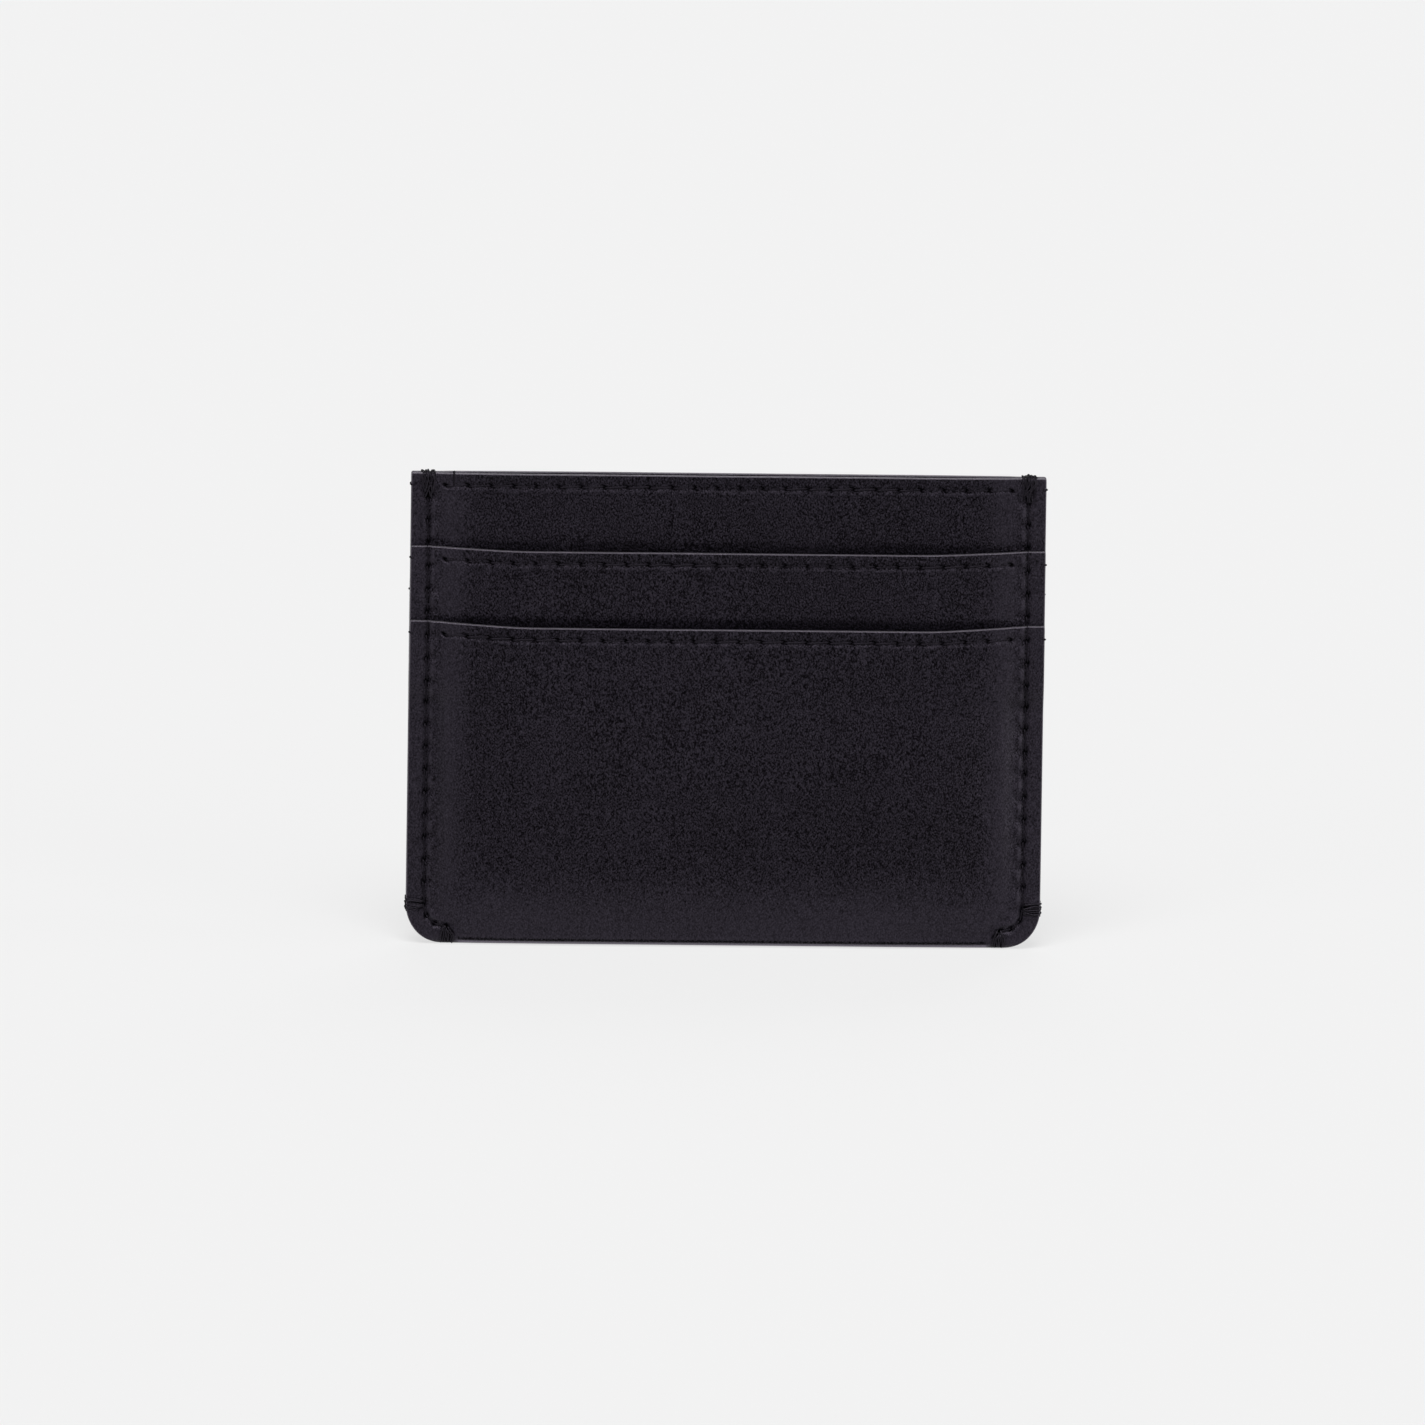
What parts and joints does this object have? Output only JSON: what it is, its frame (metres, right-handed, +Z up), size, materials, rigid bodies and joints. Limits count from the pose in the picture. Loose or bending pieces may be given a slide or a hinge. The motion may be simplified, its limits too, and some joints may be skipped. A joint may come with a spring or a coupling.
{
  "type": "card holder",
  "caption": "Slim black leather card holder, folded at the bottom, with stacked front card slots, a back slip pocket, an open centre pocket and stitched edges.",
  "frame": {"origin": "middle of the bounding box's bottom face, on the ground under the folded edge", "axes": "+X across the width, to the right seen from the front; the front faces -Y; +Z up, from the fold to the open top"},
  "size_m": [0.1024, 0.01, 0.0768],
  "materials": {
    "wrap_leather": "fine pebbled grain, semi-matt",
    "facing_leather": "fine pebbled grain, semi-matt",
    "lining_fabric": "fine woven lining",
    "sewing_thread": "waxed twisted thread",
    "bartack_thread": "waxed twisted thread, doubled"
  },
  "bodies": {
    "root": {"outer_wrap": "wrap_leather", "front_upper_pocket": "facing_leather", "front_body_panel": "facing_leather", "back_body_panel": "facing_leather", "outer_wrap_lining": "lining_fabric", "front_upper_pocket_tail": "lining_fabric", "centre_pocket_lining": "lining_fabric", "front_top_stitches": "sewing_thread", "front_upper_stitches": "sewing_thread", "front_lower_stitches": "sewing_thread", "back_top_stitches": "sewing_thread", "back_pocket_stitches": "sewing_thread", "pocket_tail_stitches": "sewing_thread", "left_seam_stitches": "sewing_thread", "right_seam_stitches": "sewing_thread", "left_corner_stitches": "sewing_thread", "right_corner_stitches": "sewing_thread", "left_top_bartack": "bartack_thread", "right_top_bartack": "bartack_thread", "left_side_bartack": "bartack_thread", "right_side_bartack": "bartack_thread", "left_fold_bartack": "bartack_thread", "right_fold_bartack": "bartack_thread"}
  },
  "joints": []
}
